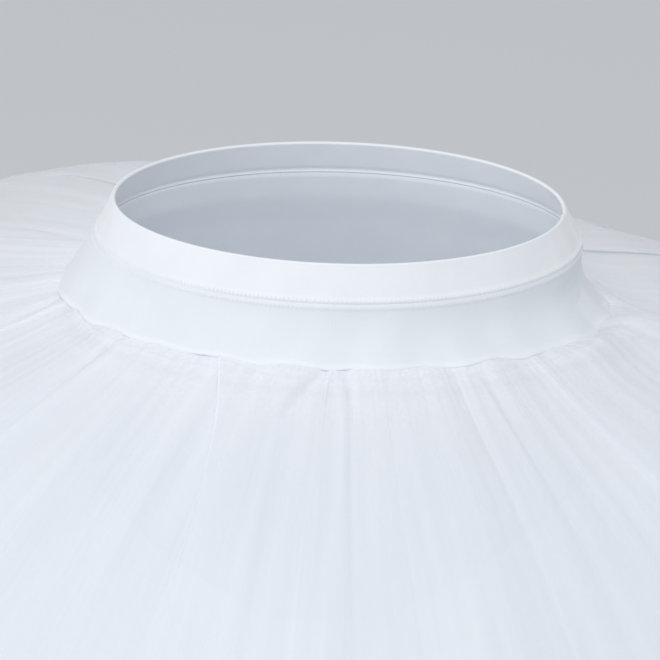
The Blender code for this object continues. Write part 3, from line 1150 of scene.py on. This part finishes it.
@dataclass(frozen=True)
class Droop:
    """Slope of the net below the horizontal at its seam and at its hem, every 30 degrees of turn."""

    seam_deg: tuple[float, ...] = (21, 19, 10, 2, 6, 9, 4, 2, 3, 3, 11, 18)
    hem_deg: tuple[float, ...] = (41, 41, 40, 38, 40, 42, 37, 32, 32, 33, 39, 41)

    def at(self, turn: np.ndarray, slopes: tuple[float, ...]) -> np.ndarray:
        """Slope between the listed turns, eased with three times the share's square less twice its cube.

        Args:
            turn: Turns round the body.
            slopes: One of the two lists.

        Returns:
            Slopes in radians.
        """
        steps = (turn / FULL_TURN * len(slopes)) % len(slopes)
        before = np.floor(steps).astype(int) % len(slopes)
        share = steps - np.floor(steps)
        eased = share * share * (3 - 2 * share)
        table = np.radians(slopes)
        return table[before] * (1 - eased) + table[(before + 1) % len(slopes)] * eased


MAIN_FOLDS = (
    MainFold(8, 3.5, 3.5, -1.2 * MM),
    MainFold(18, 5.5, 5.5, 1.6 * MM),
    MainFold(27, 3.5, 3.5, -1.4 * MM),
    MainFold(37, 4.5, 5.0, 1.4 * MM),
    MainFold(51, 5.0, 5.0, 1.8 * MM),
    MainFold(63, 3.5, 3.5, -1.4 * MM),
    MainFold(76, 5.5, 5.5, 4.0 * MM),
    MainFold(100, 4.5, 6.0, 5.5 * MM),
    MainFold(121, 6.0, 6.0, -5.0 * MM),
    MainFold(143, 5.0, 5.0, 6.0 * MM),
    MainFold(166, 6.0, 6.0, -5.0 * MM),
    MainFold(187, 5.0, 5.0, 6.0 * MM),
    MainFold(208, 6.0, 6.0, 5.0 * MM),
    MainFold(230, 5.0, 5.0, -5.0 * MM),
    MainFold(251, 6.0, 6.0, 5.5 * MM),
    MainFold(273, 4.5, 4.5, 5.0 * MM),
    MainFold(291, 4.0, 4.0, -4.5 * MM),
    MainFold(308, 5.0, 5.5, 5.0 * MM),
    MainFold(325, 3.5, 3.5, 1.0 * MM),
    MainFold(338, 3.5, 3.5, -1.0 * MM),
    MainFold(355, 6.0, 6.0, 1.6 * MM),
)

PLEATS = (
    Pleat(-13.0, 3.2, 2.2 * MM, -1, 200 * MM, -9.5, 4.0 * MM, 1.35),
    Pleat(-32.0, 2.0, 0.6 * MM, -1, 170 * MM, -2.0, 30.0 * MM, 0.8),
    Pleat(-24.5, 1.6, 0.6 * MM, -1, 140 * MM, -1.0, 30.0 * MM, 0.8),
    Pleat(-44.0, 2.6, 0.8 * MM, -1, 200 * MM, -2.5, 30.0 * MM, 1.0),
    Pleat(-71.5, 2.2, 1.0 * MM, 1, 220 * MM, 1.0, 30.0 * MM, 1.2),
    Pleat(0.5, 1.6, 0.5 * MM, 1, 60 * MM, 2.0, 8.0 * MM, 1.1),
    Pleat(5.5, 1.4, 0.5 * MM, 1, 300 * MM, -0.6, 120.0 * MM, 1.0),
    Pleat(11.6, 1.5, 0.6 * MM, 1, 320 * MM, 1.0, 50.0 * MM, 1.0),
    Pleat(27.0, 2.8, 0.4 * MM, 1, 260 * MM, -2.0, 40.0 * MM, 0.65),
    Pleat(32.4, 1.5, 0.5 * MM, 1, 200 * MM, -1.2, 40.0 * MM, 0.7),
    Pleat(46.0, 2.8, 0.7 * MM, 1, 240 * MM, -1.5, 40.0 * MM, 0.75),
    Pleat(54.0, 1.8, 0.6 * MM, -1, 150 * MM, 1.0, 40.0 * MM, 0.7),
    Pleat(63.0, 2.8, 0.9 * MM, 1, 260 * MM, -1.5, 40.0 * MM, 0.8),
    Pleat(82.0, 2.0, 0.9 * MM, -1, 220 * MM, 1.0, 40.0 * MM, 1.0),
    Pleat(108.0, 2.8, 2.4 * MM, 1, 260 * MM, -2.0),
    Pleat(131.0, 2.4, 2.0 * MM, -1, 240 * MM, 2.0),
    Pleat(152.0, 3.0, 2.6 * MM, 1, 300 * MM, 2.5),
    Pleat(174.0, 2.2, 1.8 * MM, -1, 220 * MM, -1.0),
    Pleat(193.0, 3.2, 2.8 * MM, -1, 280 * MM, -3.0),
    Pleat(216.0, 2.4, 2.0 * MM, 1, 240 * MM, 1.5),
    Pleat(238.0, 2.8, 0.8 * MM, -1, 260 * MM, -2.0, 25.0 * MM, 0.8),
    Pleat(247.0, 2.4, 2.0 * MM, -1, 200 * MM, -2.0, 15.0 * MM, 1.3),
    Pleat(269.0, 2.0, 0.8 * MM, -1, 220 * MM, -1.0, 25.0 * MM, 0.8),
)

PUCKERS = (
    Pucker(-21.0, 1.5, 0.4 * MM, 18 * MM),
    Pucker(2.0, 1.1, 3.0 * MM, 20 * MM, -190.0),
    Pucker(4.5, 1.2, 1.8 * MM, 14 * MM, 60.0),
    Pucker(31.0, 1.5, 0.6 * MM, 24 * MM, 60.0),
    Pucker(48.0, 1.6, 0.5 * MM, 20 * MM, 60.0),
    Pucker(63.0, 12.0, -8.0 * MM, 25 * MM, 0.0, 7.0),
    Pucker(79.0, 11.0, -11.0 * MM, 40 * MM),
    Pucker(110.0, 12.0, 17.0 * MM, 50 * MM),
    Pucker(158.0, 1.8, 3.0 * MM, 34 * MM, -60.0),
    Pucker(196.0, 2.2, 2.8 * MM, 28 * MM, 80.0),
    Pucker(243.0, 1.8, 2.6 * MM, 34 * MM, -60.0),
    Pucker(284.0, 1.6, 2.0 * MM, 26 * MM, 60.0),
    Pucker(316.0, 1.8, 1.6 * MM, 24 * MM, -60.0),
)


@dataclass
class NetLayer:
    """One gathered layer of net: a heading on the briefs, a seam, and a run that droops to the hem."""

    figure: Figure
    name: str
    node: str
    seam_drop: float
    length: float
    waves: int
    hem_wave: float
    extra_seam_deg: float
    extra_hem_deg: float
    columns: int
    rows: int
    seed: int
    cut_width: float = 3.1
    heading: float = 8.0 * MM
    off_briefs: float = 1.1 * MM
    gather_opening: float = 0.4
    fine_count: int = 211
    fine_height: float = 0.09 * MM
    fine_reach: float = 42.0 * MM
    mid_count: int = 97
    mid_height: float = 0.15 * MM
    mid_reach: float = 120.0 * MM
    rim_run: float = 11.0 * MM
    rim_clearance: float = 0.4 * MM
    root_reach: float = 45.0 * MM
    calm: float = 0.02
    calm_to: float = 0.22
    swell: float = 5.0 * MM
    small_swell: float = 3.0 * MM
    crinkle: float = 0.18 * MM
    sway: float = 0.008
    uneven_length: float = 0.012
    front_share: float = 0.45
    row_power: float = 1.45
    pleats: tuple[Pleat, ...] = ()

    def gathers(self, turn: np.ndarray) -> np.ndarray:
        """Large gathers: a sine whose phase and height are uneven.

        Args:
            turn: Turns of the cloth.

        Returns:
            Heights from -1 to 1.
        """
        phase = self.waves * turn + 0.9 * np.sin(3 * turn + 0.4 * self.waves)
        phase = phase + 0.7 * np.sin(8 * turn + self.waves)
        return np.sin(phase) * (0.78 + 0.22 * np.sin(5 * turn + 2.1 * self.waves))

    def small_gathers(self, turn: np.ndarray, run: np.ndarray) -> np.ndarray:
        """Fine and middling gathers: sines that rise at the seam and fade as the net opens out.

        Args:
            turn: Turns of the cloth.
            run: Distance from the seam.

        Returns:
            Heights in metres.
        """
        fine_phase = self.fine_count * turn + 2.2 * uneven(turn, self.seed + 1, 5, 40)
        fine = np.sin(fine_phase) * (0.65 + 0.35 * uneven(turn, self.seed + 2, 20, 90))
        fine = fine * self.fine_height * (1 - np.exp(-run / (4 * MM))) * np.exp(-run / self.fine_reach)
        mid_phase = self.mid_count * turn + 1.8 * uneven(turn, self.seed + 3, 4, 30)
        mid = np.sin(mid_phase) * (0.7 + 0.3 * uneven(turn, self.seed + 4, 10, 50))
        mid = mid * self.mid_height * (1 - np.exp(-run / (14 * MM))) * np.exp(-run / self.mid_reach)
        return fine + mid

    def main_folds(self, turn: np.ndarray) -> np.ndarray:
        """Height of the main folds at full opening, as a sum of bells.

        Args:
            turn: Turns of the cloth.

        Returns:
            Heights in metres.
        """
        shapes = [
            fold.height * bump(degrees_away(turn, fold.turn_deg), fold.left_deg, fold.right_deg)
            for fold in MAIN_FOLDS
        ]
        return np.sum(shapes, axis=0)

    def folded_back(self, turn: np.ndarray, run: np.ndarray) -> tuple[np.ndarray, np.ndarray]:
        """How the pleats move the net round the body, and how high they lift it.

        At s widths from its middle, a pleat moves the net back by fold back times s exp(-s squared), so that
        the turn runs back on itself about the middle. The height rises through the middle as a hyperbolic
        tangent, so the strand on the side of the crisp edge lies on top, and it falls off beyond it.

        Args:
            turn: Turns of the cloth.
            run: Distance from the seam.

        Returns:
            Change of turn in radians, and height in metres.
        """
        shift = np.zeros(np.broadcast(turn, run).shape)
        height = np.zeros_like(shift)
        for pleat in self.pleats:
            centre = pleat.turn_deg + pleat.root_shift_deg * np.exp(-run / self.root_reach)
            s = degrees_away(turn, centre) / pleat.width_deg
            grown = (1 - np.exp(-run / pleat.rise)) * np.exp(-((run / pleat.reach) ** 2))
            shift -= math.radians(pleat.width_deg) * pleat.fold_back * s * np.exp(-(s**2)) * grown
            over = -s * pleat.edge_side
            top = (0.5 + 0.5 * np.tanh(2.2 * over)) * np.exp(-((np.maximum(over, 0.0) / 2.4) ** 2))
            under = -0.3 * np.exp(-(((over + 1.1) / 0.7) ** 2))
            height += pleat.height * (top + under) * grown
        return shift, height

    def puckers(self, turn: np.ndarray, run: np.ndarray) -> np.ndarray:
        """Depth of the pockets at the seam: each rises at once and fades over its reach.

        Down the run, a pocket follows x exp(1 - x) raised to its power, where x is the run over its reach.

        Args:
            turn: Turns of the cloth.
            run: Distance from the seam.

        Returns:
            Depths in metres.
        """
        depth = np.zeros(np.broadcast(turn, run).shape)
        for pucker in PUCKERS:
            away = degrees_away(turn, pucker.turn_deg + pucker.slant_deg * run)
            shape = bump(away, pucker.width_deg, pucker.width_deg)
            along = run / pucker.reach
            depth += pucker.depth * shape * (along * np.exp(1 - along)) ** pucker.power
        return depth

    def puff(self, turn: np.ndarray, start: np.ndarray) -> np.ndarray:
        """Height of the ruffle at the seam: the room up to the basque's edge, less a clearance.

        It follows the scallops of that edge, so that no slit opens under them.

        Args:
            turn: Turns of the cloth.
            start: Slope of the net at the seam.

        Returns:
            Heights in metres.
        """
        room = TOP_SEAM_DROP + self.rim_run * np.sin(start) - self.figure.scallops(turn)
        return np.maximum(room - self.rim_clearance, 0.0)

    def surface(self) -> tuple[np.ndarray, np.ndarray, np.ndarray]:
        """Grid of the layer: two rows of heading, then the run.

        The run is a circular arc in the upright plane of its turn, from the seam's slope to the hem's. With
        slope a at the seam and a + k at the hem, a share f of the length L lies L (sin(a + k f) - sin a) / k
        outwards and L (cos a - cos(a + k f)) / k down. Gathers, folds and swells move it across the arc.

        Returns:
            Points, and the cloth position round and down.
        """
        turn = turns(self.columns, self.front_share)[None, :]
        share = (np.linspace(0.0, 1.0, self.rows)[:, None]) ** self.row_power
        run = share * self.length
        droop = Droop()
        start = droop.at(turn, droop.seam_deg) + math.radians(self.extra_seam_deg)
        turning = droop.at(turn, droop.hem_deg) + math.radians(self.extra_hem_deg) - start
        slope = start + turning * share
        shift, lift = self.folded_back(turn, run)
        opened = (1 - np.exp(-share / self.gather_opening)) / (1 - math.exp(-1 / self.gather_opening))
        swell = self.swell * np.sin(7 * turn + math.radians(40))
        swell = swell + self.small_swell * np.sin(11 * turn + math.radians(130))
        ripples = uneven(turn + 0.05 * share, self.seed + 5, 60, 120)
        crinkle = self.crinkle * np.sin(math.pi * share) * ripples
        late = np.clip((run - self.calm_to) / (self.length - self.calm_to), 0.0, 1.0) ** 2
        hem_waves = self.hem_wave * self.gathers(turn) * (self.calm + (1 - self.calm) * late)
        across = (hem_waves + self.main_folds(turn)) * opened + swell * share + crinkle
        across = across + self.small_gathers(turn, run) + lift - self.puckers(turn, run)
        rim = run / self.rim_run
        across = across + self.puff(turn, start) * rim * np.exp(1 - rim)
        sway = self.sway * share * uneven(turn, self.seed + 6, 5, 16)
        leaning = turn + shift + sway
        below = self.figure.basque_edge(turn) + self.seam_drop
        seam = self.figure.on_briefs(leaning, np.broadcast_to(below, leaning.shape), self.off_briefs)
        length = self.length * (1 + self.uneven_length * uneven(turn, self.seed + 7, 6, 40))
        outwards = length * (np.sin(slope) - np.sin(start)) / turning
        down = length * (np.cos(start) - np.cos(slope)) / turning
        way = np.stack([np.sin(leaning), -np.cos(leaning), np.zeros_like(leaning)], axis=-1)
        points = seam + way * (outwards + across * np.sin(slope))[..., None]
        points[..., 2] += across * np.cos(slope) - down
        head = self.figure.on_briefs(turn, below - self.heading, self.off_briefs)
        points = np.concatenate([head, points])
        down_cloth = np.concatenate([np.full((1, 1), -self.heading), run])
        round_cloth = turn / FULL_TURN * self.cut_width
        return points, round_cloth, down_cloth

    def build(self) -> bpy.types.Object:
        """The layer's sheet of net.

        Returns:
            The net.
        """
        points, across, down = self.surface()
        net = round_mesh(self.name, points, across, down)
        return net


@dataclass(frozen=True)
class Lamp:
    """Square soft light at a place, aimed at the tutu."""

    name: str
    place: tuple[float, float, float]
    size: float
    power: float
    colour: tuple[float, float, float]
    aim: tuple[float, float, float] = (0.0, 0.0, -0.1)

    def build(self) -> None:
        """Puts up the light, out of the camera's sight."""
        data = bpy.data.lights.new(self.name, "AREA")
        data.shape = "SQUARE"
        data.size = self.size
        data.energy = self.power
        data.color = self.colour
        lamp = bpy.data.objects.new(self.name, data)
        turned = (Vector(self.aim) - Vector(self.place)).to_track_quat("-Z", "Y").to_matrix().to_4x4()
        lamp.matrix_world = Matrix.Translation(self.place) @ turned
        lamp.visible_camera = False
        bpy.context.scene.collection.objects.link(lamp)


@dataclass
class Studio:
    """Pale floor, soft light and the camera.

    The camera's sizes are those of the 660 by 660 frame: its focal length and the origin's place are in
    pixels.
    """

    floor_below: float = 1.0
    floor_size: float = 60.0
    floor_colour: tuple[float, float, float, float] = (0.745, 0.775, 0.815, 1.0)
    sky_colour: tuple[float, float, float, float] = (0.955, 0.96, 0.96, 1.0)
    sky_strength: float = 0.685
    lamps: tuple[Lamp, ...] = (
        Lamp("key", (-3.2, -1.6, 1.0), 2.2, 28.5, (1.0, 0.99, 0.98)),
        Lamp("top", (0.02, -1.0, 1.05), 0.9, 8.2, (0.985, 0.995, 1.0)),
    )
    light_passes: int = 48
    frame_px: float = 660.0
    focal_px: float = 3490.0
    origin_px: tuple[float, float] = (336.0, 200.0)
    distance: float = 2.0
    azimuth_deg: float = 4.0
    elevation_deg: float = 22.0
    roll_deg: float = 1.0

    def floor(self) -> None:
        """Large plain floor."""
        half = self.floor_size / 2
        mesh = bpy.data.meshes.new("floor")
        corners = [(-half, -half), (half, -half), (half, half), (-half, half)]
        mesh.from_pydata([(x, y, -self.floor_below) for x, y in corners], [], [(0, 1, 2, 3)])
        floor = link("floor", mesh)
        shader = Shader("floor_paint")
        mesh.materials.append(shader.finish({"Base Color": self.floor_colour, "Roughness": 0.9,
                                             "Specular IOR Level": 0.1}))

    def light(self) -> None:
        """Pale surroundings, a soft key from the front left, and a weaker light above the front."""
        world = bpy.data.worlds.new("studio")
        bpy.context.scene.world = world
        world.use_nodes = True
        background = world.node_tree.nodes["Background"]
        background.inputs["Color"].default_value = self.sky_colour
        background.inputs["Strength"].default_value = self.sky_strength
        for lamp in self.lamps:
            lamp.build()

    def camera(self) -> None:
        """Long lens that looks down at the waist, rolled so that the tutu leans a degree clockwise."""
        azimuth, elevation = math.radians(self.azimuth_deg), math.radians(self.elevation_deg)
        back = Vector((
            math.sin(azimuth) * math.cos(elevation),
            -math.cos(azimuth) * math.cos(elevation),
            math.sin(elevation),
        ))
        right = Vector((math.cos(azimuth), math.sin(azimuth), 0.0))
        up = back.cross(right)
        eye = back * self.distance
        metres = self.distance / self.focal_px
        half = self.frame_px / 2
        aim = right * (half - self.origin_px[0]) * metres - up * (half - self.origin_px[1]) * metres
        view = (eye - aim).normalized()
        level = Vector((0.0, 0.0, 1.0)).cross(view).normalized()
        upright = view.cross(level)
        roll = math.radians(self.roll_deg)
        side = level * math.cos(roll) + upright * math.sin(roll)
        head = upright * math.cos(roll) - level * math.sin(roll)
        data = bpy.data.cameras.new("camera")
        data.sensor_width = 36.0
        data.lens = self.focal_px / self.frame_px * data.sensor_width
        data.clip_end = 200.0
        camera = bpy.data.objects.new("camera", data)
        turned = Matrix((side, head, view)).transposed().to_4x4()
        camera.matrix_world = Matrix.Translation(eye) @ turned
        bpy.context.scene.collection.objects.link(camera)
        bpy.context.scene.camera = camera

    def build(self) -> None:
        """Puts up the floor, the lights and the camera."""
        scene = bpy.context.scene
        scene.view_settings.view_transform = "Standard"
        scene.cycles.transparent_max_bounces = self.light_passes
        self.floor()
        self.light()
        self.camera()


def net_layers(figure: Figure) -> list[NetLayer]:
    """The four layers of net, from the top one down: each lower one is shorter and hangs more steeply.

    Args:
        figure: Lines round the body.

    Returns:
        The layers.
    """
    coarse = {"columns": 1000, "rows": 44, "hem_wave": 8.0 * MM}
    return [
        NetLayer(figure, "net_top_cloth", "net_1_top", seam_drop=TOP_SEAM_DROP, length=0.340, cut_width=2.5,
                 waves=48, hem_wave=10.0 * MM, extra_seam_deg=0, extra_hem_deg=0, columns=1400, rows=66,
                 seed=100, pleats=PLEATS),
        NetLayer(figure, "net_2_cloth", "net_2", seam_drop=19.5 * MM, length=0.325, cut_width=2.5, waves=29,
                 extra_seam_deg=1, extra_hem_deg=4, seed=200, fine_count=173, mid_count=83, **coarse),
        NetLayer(figure, "net_3_cloth", "net_3", seam_drop=35.0 * MM, length=0.300, cut_width=2.4, waves=28,
                 extra_seam_deg=2, extra_hem_deg=8, seed=300, fine_count=167, mid_count=79, **coarse),
        NetLayer(figure, "net_4_cloth", "net_4", seam_drop=50.5 * MM, length=0.265, cut_width=2.3, waves=27,
                 extra_seam_deg=3, extra_hem_deg=12, seed=400, fine_count=161, mid_count=77, **coarse),
    ]


def main() -> None:
    """Builds the tutu's pieces from the waist down, then the studio."""
    logging.basicConfig(level=logging.INFO, format="%(message)s")
    figure = Figure()
    band = Waistband(figure)
    basque = Basque(figure)
    briefs = Briefs(figure)
    band_cloth = dress(band.build(), BAND_KNIT.material(), "waistband")
    LOG.info("waistband made")
    basque_cloth = dress(basque.build(), BASQUE_KNIT.material(), "basque")
    LOG.info("basque made")
    thread = WHITE_THREAD.material()
    upper, lower = (dress(row, thread) for row in CoverStitch(band, basque).build())
    LOG.info("seam stitches made")
    cloth, *bindings = briefs.build()
    knit = BRIEFS_KNIT.material()
    dress(cloth, knit, "briefs")
    for binding in bindings:
        dress(binding, knit)
    LOG.info("briefs made")
    net = SOFT_NET.material()
    for layer in net_layers(figure):
        dress(layer.build(), net, layer.node)
        LOG.info("%s made", layer.name)
    Studio().build()
    LOG.info("studio made")


if __name__ == "__main__":
    main()
